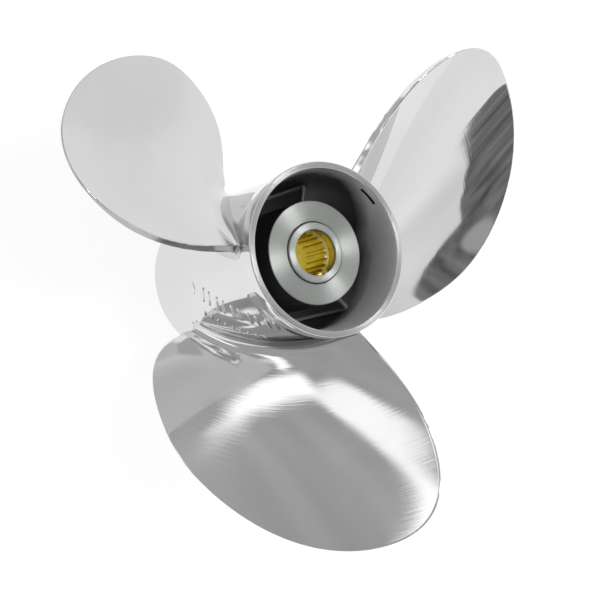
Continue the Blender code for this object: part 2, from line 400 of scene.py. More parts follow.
def offset_outwards(along, depth, distance):
    """Moves a closed contour outwards, in the plane of the unrolled section."""
    ahead_a, ahead_d = np.roll(along, -1), np.roll(depth, -1)
    behind_a, behind_d = np.roll(along, 1), np.roll(depth, 1)
    run_a, run_d = ahead_a - behind_a, ahead_d - behind_d
    length = np.maximum(np.hypot(run_a, run_d), 1e-6)
    return along + distance * run_d / length, depth - distance * run_a / length


def blade_rings():
    """Points of every ring, from inside the barrel's wall, over the root fillet, to the tip."""
    rings = []
    turns = [0.5 * pi * k / FILLET_RINGS for k in range(FILLET_RINGS)]
    rises = [-ROOT_EMBED] + [FILLET_FACE * (1.0 - cos(a)) for a in turns]
    for rise in rises:
        up = max(rise, 0.0)
        leading_t = edge_at_radius(BARREL_RADIUS + up, True)
        trailing_t = edge_at_radius(TRAILING_ROOT_RADIUS + up, False)
        rings.append((rise, leading_t, trailing_t))
    first_leading = edge_at_radius(BARREL_RADIUS + FILLET_FACE, True)
    first_trailing = edge_at_radius(TRAILING_ROOT_RADIUS + FILLET_FACE, False)
    for k in range(BLADE_RINGS):
        share = 0.9995 * (1.0 - (1.0 - k / (BLADE_RINGS - 1)) ** 1.5)
        rings.append((None, first_leading + (TIP - first_leading) * share,
                      first_trailing + (TIP - first_trailing) * share))
    placed = []
    for rise, leading_t, trailing_t in rings:
        along, radius, depth, share = blade_contour(leading_t, trailing_t)
        if rise is not None:
            up = max(rise, 0.0)
            edge_fillet = FILLET_LEADING + (FILLET_TRAILING - FILLET_LEADING) * share
            fillet = edge_fillet + (FILLET_FACE - edge_fillet) * np.sin(pi * share) ** 0.7
            flat = np.maximum(fillet - up, 0.0)
            spread = np.where(up < fillet, fillet - np.sqrt(fillet**2 - flat**2), 0.0)
            along, depth = offset_outwards(along, depth, spread)
        straight = BARREL_RADIUS + (TRAILING_ROOT_RADIUS - BARREL_RADIUS) * share
        middle_rise = radius - straight
        pull = np.clip(1.0 - middle_rise / FLARE_REACH, 0.0, 1.0) ** 2
        at = radius
        for _ in range(4):
            _angle, height = blade_point(along, at, depth)
            at = radius + (barrel_radius(height) - straight) * pull
        if rise is not None and rise < 0.0:
            at = at + rise
        at = at - TIP_ALLOWANCE * np.maximum(radius - ALLOWANCE_START, 0.0) / 100.0
        angle, height = blade_point(along, np.maximum(at, radius - 2.0), depth)
        placed.append(np.stack([at * np.cos(angle), at * np.sin(angle), height], 1))
    return placed


def make_blade(number, rings):
    """Blade 1's rings turned to the blade's place, closed at the root and at the tip."""
    count = len(rings[0])
    faces = loft_faces(len(rings), count)
    side = CHORD_STATIONS + 1
    wall = (count - 2 * side) // 2
    for start in (0, (len(rings) - 1) * count):
        face_row = list(range(start, start + side))
        back_row = list(range(start + side + wall, start + 2 * side + wall))[::-1]
        for i in range(side - 1):
            faces.append((face_row[i], face_row[i + 1], back_row[i + 1], back_row[i]))
        trail = list(range(start + side, start + side + wall))
        lead = list(range(start + 2 * side + wall, start + count))
        faces.append((face_row[-1], *trail, back_row[-1]))
        faces.append((back_row[0], *lead, face_row[0]))
    turn = (number - 1) * 360.0 / BLADES
    return add_object(f"blade_{number}_formed", np.concatenate(rings), faces, 50.0, turn)


def finish_edge(piece, rings, material_index):
    """Gives the trailing edge's own faces another material."""
    count = len(rings[0])
    side = CHORD_STATIONS + 1
    wall = (count - 2 * side) // 2
    lofted = count * (len(rings) - 1)
    for face in piece.data.polygons:
        if side - 1 <= face.index % count < side + wall and face.index < lofted:
            face.material_index = material_index


# ---------------------------------------------------------------- turned pieces


def notch_share(angles):
    """1 in the middle of the notch, 0 outside it."""
    off = np.abs((np.degrees(angles) - NOTCH_ANGLE + 180.0) % 360.0 - 180.0)
    return blend(0.5 * NOTCH_SPAN, 0.5 * NOTCH_SPAN - 1.5, off)


def make_barrel():
    """The outer barrel: flare, rounded rim, rounded foot, and the notch in the bell's bore."""
    flare = [(float(barrel_radius(h)), float(h)) for h in np.linspace(FLARE_END, FLARE_START, 24)]
    notch = [NOTCH_LOW, NOTCH_LOW + 0.2, NOTCH_HIGH - 0.2, NOTCH_HIGH]
    levels = list(np.linspace(FLARE_START, NOTCH_LOW - 0.8, 18)) + notch
    levels += [NOTCH_HIGH + 0.8, 0.5 * (NOTCH_HIGH + BARREL_LENGTH), BARREL_LENGTH - 1.2]
    bell = [(float(bore_radius(h)), float(h)) for h in levels]
    rim = rounded([(RIM_BORE, BARREL_LENGTH, 0.6), (RIM_RADIUS, BARREL_LENGTH, 0.9),
                   (RIM_RADIUS, 0.0, 0.0), (RIM_BORE, 0.0, 0.0)])
    aft = [point for point in rim if point[1] > 0.5 * BARREL_LENGTH]
    foot = rounded([(BARREL_RADIUS, BARREL_LENGTH, 0.0), (BARREL_RADIUS, 0.0, 0.7),
                    (BARREL_BORE, 0.0, 1.2), (BARREL_BORE, BARREL_LENGTH, 0.0)])
    forward = [point for point in foot if point[1] < 0.5 * BARREL_LENGTH]
    wall = [(BARREL_RADIUS, float(h)) for h in np.linspace(FLARE_START - 6.0, 6.0, 10)]
    lining = [(BARREL_BORE, float(h)) for h in np.linspace(6.0, FLARE_START - 6.0, 10)]
    outline = list(aft) + flare + wall + list(forward) + lining + bell
    floor_rows = [i for i, point in enumerate(outline)
                  if point[0] < RIM_BORE + 0.1 and NOTCH_LOW + 0.1 < point[1] < NOTCH_HIGH - 0.1]

    def radius_at(index, radii, angles):
        if index in floor_rows:
            return radii + NOTCH_DEPTH * notch_share(angles)
        return radii

    return turned("barrel_shell", outline, BARREL_STEPS, radius_at)


def make_marks():
    """Low domed marks on the barrel's outside, joined into one mesh."""
    points = []
    faces = []
    along_steps, across_steps = 14, 8
    for angle, height, length, width, slant in MARKS:
        start = len(points)
        lean = radians(slant)
        for level in (1.0, -1.0):
            for i in range(along_steps + 1):
                way = -cos(pi * i / along_steps)
                room = length / 2.0 - width / 2.0
                offset = way * length / 2.0
                past = max(abs(offset) - room, 0.0) / (width / 2.0)
                half = max(width / 2.0 * sqrt(max(1.0 - past * past, 0.0)), 0.04)
                for j in range(across_steps + 1):
                    share = -cos(pi * j / across_steps)
                    edge = max(abs(share), past)
                    rise = MARK_RISE * (1.0 - edge**6) - MARK_SINK if level > 0.0 else MARK_FOOT
                    side = half * share
                    arc = offset * sin(lean) + side * cos(lean)
                    up = offset * cos(lean) - side * sin(lean)
                    radius = BARREL_RADIUS + rise
                    turn = radians(angle) + arc / BARREL_RADIUS
                    points.append((radius * cos(turn), radius * sin(turn), height + up))
        row = across_steps + 1
        layer = row * (along_steps + 1)
        for i in range(along_steps):
            for j in range(across_steps):
                a = start + i * row + j
                faces.append((a, a + 1, a + row + 1, a + row))
                b = a + layer
                faces.append((b, b + row, b + row + 1, b + 1))
        rim = [start + i * row for i in range(along_steps + 1)]
        rim += [start + along_steps * row + j for j in range(1, row)]
        rim += [start + i * row + across_steps for i in range(along_steps - 1, -1, -1)]
        rim += [start + j for j in range(across_steps - 1, 0, -1)]
        for k in range(len(rim)):
            a, b = rim[k], rim[(k + 1) % len(rim)]
            faces.append((a, a + layer, b + layer, b))
    return add_object("barrel_marks_raised", np.array(points), faces, 60.0)


def make_inner_hub():
    """The thick tube in the middle, with a pocket for the bush behind its aft lip."""
    outline = rounded([
        (HUB_RADIUS, HUB_AFT, 0.5),
        (HUB_RADIUS, HUB_FORWARD, 1.2),
        (HUB_POCKET, HUB_FORWARD, 0.9),
        (HUB_POCKET, HUB_LIP_START, 0.6),
        (HUB_LIP_BORE, HUB_LIP_START, 0.4),
        (HUB_LIP_BORE, HUB_AFT, 0.35),
    ])
    return turned("inner_hub_turned", outline)


def make_bush():
    """The rubber between hub and sleeve, with a groove moulded in its forward face."""
    inner = SLEEVE_RADIUS + 0.05
    outer = HUB_POCKET - 0.05
    middle = (inner + outer) / 2.0
    corners = [(outer, BUSH_AFT, 1.2), (outer, BUSH_FORWARD, 1.2)]
    corners += [(middle + 2.2, BUSH_FORWARD, 0.5), (middle + 1.2, BUSH_FORWARD + 2.0, 0.8)]
    corners += [(middle - 1.2, BUSH_FORWARD + 2.0, 0.8), (middle - 2.2, BUSH_FORWARD, 0.5)]
    corners += [(inner, BUSH_FORWARD, 0.6), (inner, BUSH_AFT, 0.6)]
    return turned("rubber_bush_moulded", rounded(corners), BUSH_STEPS)


def spline_depth(angle):
    """1 in a groove of the splined bore, 0 on a tooth."""
    step = 2.0 * pi / SPLINE_TEETH
    off_centre = np.abs((angle / step + 0.5) % 1.0 - 0.5)
    return np.clip((GROOVE_HALF - off_centre) / GROOVE_FLANK, 0.0, 1.0)


def make_sleeve():
    """The brass sleeve: a plain bore forward, then the splines, then a counterbore."""
    outline = [tuple(point) for point in rounded([
        (SLEEVE_RADIUS, SLEEVE_AFT, 0.4),
        (SLEEVE_RADIUS, SLEEVE_FORWARD, 0.6),
        (PILOT_BORE, SLEEVE_FORWARD, 0.8),
        (PILOT_BORE, SPLINE_FORWARD, 0.0),
    ])]
    first_spline = len(outline)
    outline += [(SPLINE_BORE, SPLINE_FORWARD), (SPLINE_BORE, SPLINE_FORWARD + 0.4)]
    outline += [(SPLINE_BORE, h) for h in np.linspace(SPLINE_FORWARD + 4.0, SPLINE_AFT - 4.0, 4)]
    outline += [(SPLINE_BORE, SPLINE_AFT - 1.0)]
    last_spline = len(outline) - 1
    outline += [(SPLINE_BORE + 0.9, SPLINE_AFT), (COUNTERBORE - 0.25, SPLINE_AFT)]
    outline += [(COUNTERBORE, SPLINE_AFT + 0.3), (COUNTERBORE, SLEEVE_AFT - 1.0)]
    outline += [(COUNTERBORE, SLEEVE_AFT)]

    def radius_at(index, radii, angles):
        groove = spline_depth(angles) * (SPLINE_ROOT - SPLINE_BORE)
        if first_spline <= index <= last_spline:
            return radii + groove
        if index == last_spline + 1:
            return np.maximum(radii, SPLINE_BORE + groove)
        return radii

    return turned("splined_sleeve_broached", outline, SPLINE_TEETH * STEPS_PER_TOOTH, radius_at)


def make_end_ring():
    ring_forward = low("end_ring", 2)
    outline = rounded([
        (RING_RADIUS, RING_AFT, 0.9),
        (RING_RADIUS, ring_forward, 0.2),
        (COUNTERBORE, ring_forward, 0.15),
        (COUNTERBORE, RING_AFT, 0.35),
    ])
    return turned("end_ring_turned", outline)


def make_rib(number):
    """A cast web with a round aft edge and a fillet at each wall."""
    inner = HUB_RADIUS - 0.3
    outer = BARREL_BORE + 0.3
    across = inner + (outer - inner) * (0.5 - 0.5 * np.cos(pi * np.arange(25) / 24))
    wall = np.minimum(across - inner, outer - across)
    fillet = 2.6
    flat = np.clip(fillet - wall, 0.0, fillet)
    half = RIB_THICKNESS / 2.0 + fillet - np.sqrt(fillet**2 - flat**2)
    heights = [RIB_FORWARD, RIB_FORWARD + 0.3, RIB_FORWARD + 1.0]
    heights += list(np.linspace(RIB_FORWARD + 6.0, RIB_AFT - 6.0, 8))
    nose = [0.5 * pi * k / 6 for k in range(7)]
    sizes = [0.80, 0.93, 1.0] + [1.0] * 8
    heights += [RIB_AFT - 1.5 + 1.5 * sin(a) for a in nose]
    sizes += [max(cos(a), 0.05) for a in nose]
    rows = []
    for height, size in zip(heights, sizes):
        side = half * size
        there = np.stack([across, side, np.full(len(across), height)], 1)
        back = np.stack([across[::-1], -side[::-1], np.full(len(across), height)], 1)
        rows.append(np.concatenate([there, back]))
    count = len(rows[0])
    faces = loft_faces(len(rows), count)
    for start in (0, (len(rows) - 1) * count):
        for i in range(count // 2 - 1):
            faces.append((start + i, start + i + 1, start + count - 2 - i, start + count - 1 - i))
    turn = RIB_ANGLE + (number - 1) * 360.0 / BLADES
    return add_object(f"rib_{number}_cast", np.concatenate(rows), faces, 40.0, turn)


# ---------------------------------------------------------------- materials


def grey(level):
    return (level, level, level)


def new_material(name, color, metallic, roughness):
    """A material with its node tree and its shader."""
    made = bpy.data.materials.new(name)
    made.use_nodes = True
    shader = made.node_tree.nodes["Principled BSDF"]
    shader.inputs["Base Color"].default_value = (*color, 1.0)
    shader.inputs["Metallic"].default_value = metallic
    shader.inputs["Roughness"].default_value = roughness
    return made, made.node_tree, shader


def add_node(tree, kind, **values):
    """A node, with each value set on the input or the property of that name."""
    node = tree.nodes.new(kind)
    for key, value in values.items():
        label = key.replace("_", " ")
        if label in node.inputs:
            node.inputs[label].default_value = value
        else:
            setattr(node, key, value)
    return node


def noise(tree, scale, detail=3.0, rough=0.5, stretch=(1.0, 1.0, 1.0)):
    """Noise in object space, stretched by the given scale of each axis."""
    coords = tree.nodes.new("ShaderNodeTexCoord")
    mapping = tree.nodes.new("ShaderNodeMapping")
    mapping.inputs["Scale"].default_value = stretch
    tree.links.new(coords.outputs["Object"], mapping.inputs["Vector"])
    made = add_node(tree, "ShaderNodeTexNoise", Scale=scale, Detail=detail, Roughness=rough)
    tree.links.new(mapping.outputs["Vector"], made.inputs["Vector"])
    return made.outputs["Fac"]


def ranged(tree, value, low_in, high_in, low_out, high_out):
    """value carried from one range to the other, held at the ends."""
    made = add_node(tree, "ShaderNodeMapRange")
    made.inputs["From Min"].default_value = low_in
    made.inputs["From Max"].default_value = high_in
    made.inputs["To Min"].default_value = low_out
    made.inputs["To Max"].default_value = high_out
    tree.links.new(value, made.inputs["Value"])
    return made.outputs["Result"]


def arith(tree, operation, first, second=None, clamp=False):
    """A Math node on sockets or plain numbers."""
    made = tree.nodes.new("ShaderNodeMath")
    made.operation = operation
    made.use_clamp = clamp
    for socket, value in zip(made.inputs, (first, second)):
        if value is None:
            continue
        if isinstance(value, (int, float)):
            socket.default_value = value
        else:
            tree.links.new(value, socket)
    return made.outputs["Value"]


def mixed(tree, amount, first, second):
    """first where amount is 0, second where it is 1."""
    made = tree.nodes.new("ShaderNodeMix")
    made.data_type = "FLOAT"
    for socket, value in ((made.inputs[0], amount), (made.inputs[2], first), (made.inputs[3], second)):
        if isinstance(value, (int, float)):
            socket.default_value = value
        else:
            tree.links.new(value, socket)
    return made.outputs[0]


def color_ramp(tree, value, stops):
    """A colour for value, blended between (position, colour) stops."""
    ramp = tree.nodes.new("ShaderNodeValToRGB")
    points = ramp.color_ramp.elements
    while len(points) < len(stops):
        points.new(0.5)
    for point, (at, color) in zip(points, stops):
        point.position = at
        point.color = (*color, 1.0)
    tree.links.new(value, ramp.inputs["Fac"])
    return ramp.outputs["Color"]


def bumped(tree, shader, value, strength, distance, below=None):
    """Gives the shader a bump of value, on top of the bump below. Returns the bumped normal."""
    bump = add_node(tree, "ShaderNodeBump", Strength=strength, Distance=distance)
    tree.links.new(value, bump.inputs["Height"])
    if below is not None:
        tree.links.new(below, bump.inputs["Normal"])
    tree.links.new(bump.outputs["Normal"], shader.inputs["Normal"])
    return bump.outputs["Normal"]


def polished_steel(name, rough_low, rough_high, grain, color=grey(0.73)):
    """Mirror-polished stainless: a soft orange peel, fine polishing lines and clouded gloss."""
    made, tree, shader = new_material(name, color, 1.0, rough_low)
    gloss = ranged(tree, noise(tree, 28.0, 4.0, 0.6), 0.35, 0.70, rough_low, rough_high)
    tree.links.new(gloss, shader.inputs["Roughness"])
    pale = tuple(min(part * 1.05, 1.0) for part in color)
    tint = color_ramp(tree, noise(tree, 14.0, 2.0), [(0.3, color), (0.7, pale)])
    tree.links.new(tint, shader.inputs["Base Color"])
    wave = bumped(tree, shader, noise(tree, 55.0, 1.0), 0.10, 0.0004)
    lines = noise(tree, 420.0, 2.0, 0.6, (1.0, 1.0, 0.05))
    bumped(tree, shader, lines, grain, 0.00004, wave)
    return made


def from_axis(tree):
    """Over the surface: metres from the shaft axis, the angle round it, and metres up it."""
    coords = tree.nodes.new("ShaderNodeTexCoord")
    parts = tree.nodes.new("ShaderNodeSeparateXYZ")
    tree.links.new(coords.outputs["Object"], parts.inputs["Vector"])
    x, y = parts.outputs["X"], parts.outputs["Y"]
    square = arith(tree, "ADD", arith(tree, "MULTIPLY", x, x), arith(tree, "MULTIPLY", y, y))
    return arith(tree, "SQRT", square), arith(tree, "ARCTAN2", y, x), parts.outputs["Z"]


def lathe_tangent(tree, shader, strength):
    """Spreads gloss across the tool marks, which run round the axis."""
    shader.inputs["Anisotropic"].default_value = strength
    shader.inputs["Anisotropic Rotation"].default_value = 0.25
    tangent = tree.nodes.new("ShaderNodeTangent")
    tangent.direction_type = "RADIAL"
    tangent.axis = "Z"
    tree.links.new(tangent.outputs["Tangent"], shader.inputs["Tangent"])


def brushed_steel(name, line_strength, rough_low, rough_high, shade=0.64):
    """Belt-polished blade steel: nearly a mirror, with fine lines that run along the chord."""
    made, tree, shader = new_material(name, grey(shade), 1.0, 0.12)
    lathe_tangent(tree, shader, 0.6)
    across_scale, along_scale = 700.0, 2.5
    reach, angle, _height = from_axis(tree)
    along = tree.nodes.new("ShaderNodeCombineXYZ")
    tree.links.new(arith(tree, "MULTIPLY", reach, across_scale), along.inputs["X"])
    tree.links.new(arith(tree, "MULTIPLY", angle, along_scale), along.inputs["Y"])
    lines = add_node(tree, "ShaderNodeTexNoise", Scale=1.0, Detail=4.0, Roughness=0.65)
    tree.links.new(along.outputs["Vector"], lines.inputs["Vector"])
    gloss = ranged(tree, noise(tree, 22.0, 3.0, 0.55), 0.40, 0.68, rough_low, rough_high)
    tree.links.new(gloss, shader.inputs["Roughness"])
    stops = [(0.3, grey(shade)), (0.7, grey(shade + 0.05))]
    tint = color_ramp(tree, noise(tree, 12.0, 2.0), stops)
    tree.links.new(tint, shader.inputs["Base Color"])
    wave = bumped(tree, shader, noise(tree, 30.0, 1.0), 0.10, 0.0005)
    bumped(tree, shader, lines.outputs["Fac"], line_strength, 0.00008, wave)
    return made


def turned_steel(name, dark, pale, roughness):
    """A lathe-faced surface: rings about Z, and highlights that fan out from the axis."""
    made, tree, shader = new_material(name, pale, 1.0, roughness)
    lathe_tangent(tree, shader, 0.95)
    reach, _angle, _height = from_axis(tree)
    lines = tree.nodes.new("ShaderNodeTexNoise")
    lines.noise_dimensions = "1D"
    lines.inputs["Scale"].default_value = 2600.0
    lines.inputs["Detail"].default_value = 3.0
    tree.links.new(reach, lines.inputs["W"])
    bumped(tree, shader, lines.outputs["Fac"], 0.25, 0.00003)
    tint = color_ramp(tree, lines.outputs["Fac"], [(0.3, dark), (0.7, pale)])
    tree.links.new(tint, shader.inputs["Base Color"])
    return made


# Where painted shade lies inside the barrel: metres up the axis, metres from it, degrees round it, and
# how much darker the side away from the lit one is painted.
SHADE_FULL_BELOW = 0.082
SHADE_GONE_ABOVE = 0.118
SHADED_HUB_RADIUS = 0.034
LIT_WALL_RADIUS = 0.038
LIT_SIDE = 155.0
SIDE_SHADE = 0.74


def cast_steel(name, dark, pale, roughness):
    """The as-cast skin inside the barrel, with painted shade: darker deep down, near the hub and along
    one side of the bell.
    """
    made, tree, shader = new_material(name, dark, 0.5, roughness)
    grain = noise(tree, 900.0, 4.0, 0.65)
    cloud = arith(tree, "MULTIPLY", arith(tree, "SUBTRACT", noise(tree, 60.0, 3.0), 0.5), 0.30)
    # Painted shade: the skin is painted darker deep in the bore, close to the hub and on the side away
    # from the lit one; the cloud noise is random tone.
    reach, angle, height = from_axis(tree)
    by_height = ranged(tree, height, SHADE_FULL_BELOW, SHADE_GONE_ABOVE, 0.0, 1.0)
    side = arith(tree, "COSINE", arith(tree, "SUBTRACT", angle, radians(LIT_SIDE)))
    by_side = ranged(tree, side, -0.55, 0.35, -SIDE_SHADE, 0.0)
    by_wall = ranged(tree, reach, SHADED_HUB_RADIUS, LIT_WALL_RADIUS, 0.0, 1.0)
    lightness = arith(tree, "ADD", arith(tree, "ADD", by_height, cloud), by_side)
    lightness = arith(tree, "MULTIPLY", lightness, by_wall, True)
    mid = tuple(0.4 * low_part + 0.6 * high_part for low_part, high_part in zip(dark, pale))
    worn = tuple(0.88 * part for part in pale)
    tint = color_ramp(tree, lightness, [(0.08, dark), (0.34, mid), (0.50, pale), (0.95, worn)])
    tree.links.new(tint, shader.inputs["Base Color"])
    gloss = ranged(tree, grain, 0.3, 0.7, roughness - 0.1, roughness + 0.12)
    tree.links.new(gloss, shader.inputs["Roughness"])
    bumped(tree, shader, grain, 0.4, 0.00012)
    return made


# The stretch of the bore, in metres up the axis, where a painted highlight lies on the ends of the
# teeth.
TOOTH_END_START = 0.0988
TOOTH_END_FULL = 0.0998
TOOTH_END_FADE = 0.1009
TOOTH_END_GONE = 0.1013


def broached_brass(name):
    """Brass with broaching lines along the bore and a painted highlight on the ends of the teeth."""
    made, tree, shader = new_material(name, (0.66, 0.53, 0.12), 1.0, 0.22)
    lines = noise(tree, 500.0, 3.0, 0.6, (1.0, 1.0, 0.03))
    _reach, _angle, height = from_axis(tree)
    stain = arith(tree, "MULTIPLY", noise(tree, 90.0, 3.0), 0.6)
    highlight_rise = ranged(tree, height, TOOTH_END_START, TOOTH_END_FULL, 0.0, 0.45)
    highlight_fall = ranged(tree, height, TOOTH_END_FADE, TOOTH_END_GONE, 0.0, 0.45)
    stain_and_highlight = arith(tree, "SUBTRACT", arith(tree, "ADD", stain, highlight_rise), highlight_fall)
    # The pale stop is the painted highlight on the ends of the teeth; the spread from brown to yellow
    # is stain.
    brown, yellow, pale = (0.56, 0.46, 0.09), (0.80, 0.70, 0.17), (1.0, 0.95, 0.60)
    tint = color_ramp(tree, stain_and_highlight, [(0.15, brown), (0.48, yellow), (0.72, pale)])
    tree.links.new(tint, shader.inputs["Base Color"])
    tree.links.new(ranged(tree, lines, 0.3, 0.7, 0.14, 0.30), shader.inputs["Roughness"])
    bumped(tree, shader, lines, 0.3, 0.00008)
    return made


def moulded_rubber(name):
    """Black rubber with a matt, slightly uneven moulded skin."""
    made, tree, shader = new_material(name, grey(0.02), 0.0, 0.7)
    grain = noise(tree, 700.0, 4.0)
    stops = [(0.3, grey(0.012)), (0.8, (0.035, 0.035, 0.036))]
    tint = color_ramp(tree, noise(tree, 50.0, 3.0), stops)
    tree.links.new(tint, shader.inputs["Base Color"])
    bumped(tree, shader, grain, 0.3, 0.0001)
    return made


# ---------------------------------------------------------------- the pieces in place


polished = polished_steel("polished_steel", 0.04, 0.10, 0.25)
# The blade steels are lit and shaded copies of one steel: blade 1's darker grey 0.575 is painted shade
# and blade 3's paler 0.655 painted light, against blade 2's 0.64.
satin = brushed_steel("satin_steel_painted_shade", 0.06, 0.12, 0.19, 0.575)
fine_brushed = brushed_steel("fine_brushed_steel_painted_light", 0.06, 0.02, 0.05, 0.655)
brushed = brushed_steel("brushed_steel", 0.35, 0.045, 0.115)
# Polished steel darkened to grey 0.44 for the trailing edges of blades 1 and 2: painted shade.
painted_shade_edge = polished_steel("edge_steel_painted_shade", 0.16, 0.28, 0.25, grey(0.44))
machined = turned_steel("machined_steel", (0.41, 0.43, 0.41), (0.53, 0.55, 0.53), 0.35)
faced = turned_steel("faced_steel", (0.34, 0.355, 0.34), (0.44, 0.455, 0.44), 0.35)
rim_steel = turned_steel("rim_steel", grey(0.36), grey(0.50), 0.30)
# Both cast skins carry painted shade; the ribs' copy is painted with a paler dark level than the
# barrel's and hub's.
cast = cast_steel("cast_steel", (0.06, 0.06, 0.063), grey(0.85), 0.40)
web_cast = cast_steel("web_cast_steel", (0.20, 0.20, 0.205), grey(0.60), 0.40)
# A near-black painted shadow for the floor of the notch.
notch_shadow = cast_steel("notch_painted_shadow", grey(0.01), grey(0.02), 0.6)
brass = broached_brass("brass")
rubber = moulded_rubber("rubber")


def place(piece, body, node):
    """Puts a piece on its body, in the place of its CAD node."""
    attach(piece, body)
    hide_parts(node)
    return piece


def barrel_finish(centre, normal):
    """1 on the barrel's inner wall, 2 on the faced rim, 3 in the notch, which takes the painted
    shadow, 0 elsewhere.
    """
    outwards = Vector((centre.x, centre.y, 0.0)).normalized()
    if normal.z > 0.97 and centre.z > BARREL_LENGTH - 0.1:
        return 2
    reach = Vector((centre.x, centre.y)).length
    in_wall = bore_radius(centre.z) + 0.25 < reach < RIM_RADIUS - 0.5
    if in_wall and NOTCH_LOW - 0.1 < centre.z < NOTCH_HIGH + 0.1:
        return 3
    inner_wall = normal.dot(outwards) < -0.3 and 1.0 < centre.z < BARREL_LENGTH - 0.9
    return 1 if inner_wall else 0


def is_cast_hub(centre, normal):
    """1 on the inner hub's cast outside, 0 where it was faced and bored."""
    outwards = Vector((centre.x, centre.y, 0.0)).normalized()
    faced = centre.z > HUB_AFT - 0.7 or normal.dot(outwards) < 0.3
    return 0 if faced else 1


barrel = place(make_barrel(), WHEEL, "barrel")
assign(barrel, [polished, cast, rim_steel, notch_shadow], barrel_finish)

marks = place(make_marks(), WHEEL, "barrel")
assign(marks, [polished])

inner_hub = place(make_inner_hub(), WHEEL, "inner_hub")
assign(inner_hub, [faced, cast], is_cast_hub)

# Each blade's face and trailing edge. The faces are lit and shaded copies of one steel, and blades 1
# and 2 take the painted-shade edge.
BLADE_FINISHES = ((satin, painted_shade_edge), (brushed, painted_shade_edge), (fine_brushed, polished))

all_rings = blade_rings()
for number, finishes in enumerate(BLADE_FINISHES, 1):
    blade = place(make_blade(number, all_rings), WHEEL, f"blade_{number}")
    assign(blade, finishes)
    finish_edge(blade, all_rings, 1)
    rib = place(make_rib(number), WHEEL, f"rib_{number}")
    assign(rib, [web_cast])

bush = place(make_bush(), WHEEL, "rubber_bush")
assign(bush, [rubber])
sleeve = place(make_sleeve(), SLEEVE, "splined_sleeve")
assign(sleeve, [brass])
end_ring = place(make_end_ring(), SLEEVE, "end_ring")
assign(end_ring, [machined])


# ---------------------------------------------------------------- floor, light and camera


TABLE_WIDTH = 8.0
TABLE_GLOW = 0.83

# The studio's sky. Places and radii are degrees from the zenith, along world X and world Y,
# and a level of 1 is plain white. Patches are (centre, radii, edge start, edge end, level).
DIM_END_LEVEL = 0.20
STRIP_CENTRE = (-7.3, 9.4)
STRIP_RADIUS = 64.2
STRIP_LEVEL = 1.65
BRIGHT_PATCHES = (
    ((50.5, 22.0), (4.8, 11.5), 0.80, 1.15, 1.45),
    ((66.5, 5.0), (3.6, 7.0), 0.80, 1.10, 1.60),
    ((80.0, 27.0), (8.0, 9.0), 0.80, 1.10, 1.60),
)
CARD_LEVEL = 0.18
CARD_CLOUDING = 0.42
CARD_HOLE = ((-22.8, 27.6), (2.2, 2.2), 0.75, 1.05, 0.44)
LAMPS = (
    ((-4.8, -30.6), (3.4, 3.4), 0.80, 1.10, 26.0),
    ((-7.0, -8.8), (3.4, 3.4), 0.80, 1.10, 26.0),
)

# The camera's direction and roll in degrees, its place in metres and its lens in millimetres.
CAMERA_AZIMUTH = 43.52
CAMERA_ELEVATION = 59.12
CAMERA_ROLL = 76.03
CAMERA_PLACE = (0.40315, 0.41501, 1.04698)
CAMERA_LENS = 120.0
SENSOR_WIDTH = 36.0


def make_floor():
    """A white table that glows a little, so that shadows on it stay faint."""
    bpy.ops.mesh.primitive_plane_add(size=TABLE_WIDTH)
    floor = bpy.context.object
    floor.name = "floor"
    made, _tree, shader = new_material("backlit_table", grey(0.26), 0.0, 0.9)
    shader.inputs["Emission Color"].default_value = (1.0, 1.0, 1.0, 1.0)
    shader.inputs["Emission Strength"].default_value = TABLE_GLOW
    shader.inputs["Specular IOR Level"].default_value = 0.2
    floor.data.materials.append(made)


def sky_plane(tree):
    """The sky laid flat: degrees from the zenith, along world X and world Y."""
    coords = tree.nodes.new("ShaderNodeTexCoord")
    unit = tree.nodes.new("ShaderNodeSeparateXYZ")
    tree.links.new(coords.outputs["Generated"], unit.inputs["Vector"])
    x, y, z = unit.outputs["X"], unit.outputs["Y"], unit.outputs["Z"]
    from_zenith = arith(tree, "MULTIPLY", arith(tree, "ARCCOSINE", z), 180.0 / pi)
    square = arith(tree, "ADD", arith(tree, "MULTIPLY", x, x), arith(tree, "MULTIPLY", y, y))
    reach = arith(tree, "MAXIMUM", arith(tree, "SQRT", square), 1e-4)
    scale = arith(tree, "DIVIDE", from_zenith, reach)
    return arith(tree, "MULTIPLY", x, scale), arith(tree, "MULTIPLY", y, scale)


def sky_noise(tree, scale, detail):
    """Noise over the sky, about 0."""
    coords = tree.nodes.new("ShaderNodeTexCoord")
    made = add_node(tree, "ShaderNodeTexNoise", Scale=scale, Detail=detail)
    tree.links.new(coords.outputs["Generated"], made.inputs["Vector"])
    return arith(tree, "SUBTRACT", made.outputs["Fac"], 0.5)


def distance_to(tree, x, y, centre, radii):
    """1 on the ellipse of these radii about centre, less inside it."""
    across = arith(tree, "DIVIDE", arith(tree, "SUBTRACT", x, centre[0]), radii[0])
    along = arith(tree, "DIVIDE", arith(tree, "SUBTRACT", y, centre[1]), radii[1])
    across_square = arith(tree, "MULTIPLY", across, across)
    along_square = arith(tree, "MULTIPLY", along, along)
    return arith(tree, "SQRT", arith(tree, "ADD", across_square, along_square))


def patched(tree, x, y, light, patch):
    """light with an oval patch of another level laid over it."""
    centre, radii, edge_start, edge_end, level = patch
    share = ranged(tree, distance_to(tree, x, y, centre, radii), edge_start, edge_end, 1.0, 0.0)
    return mixed(tree, share, light, level)


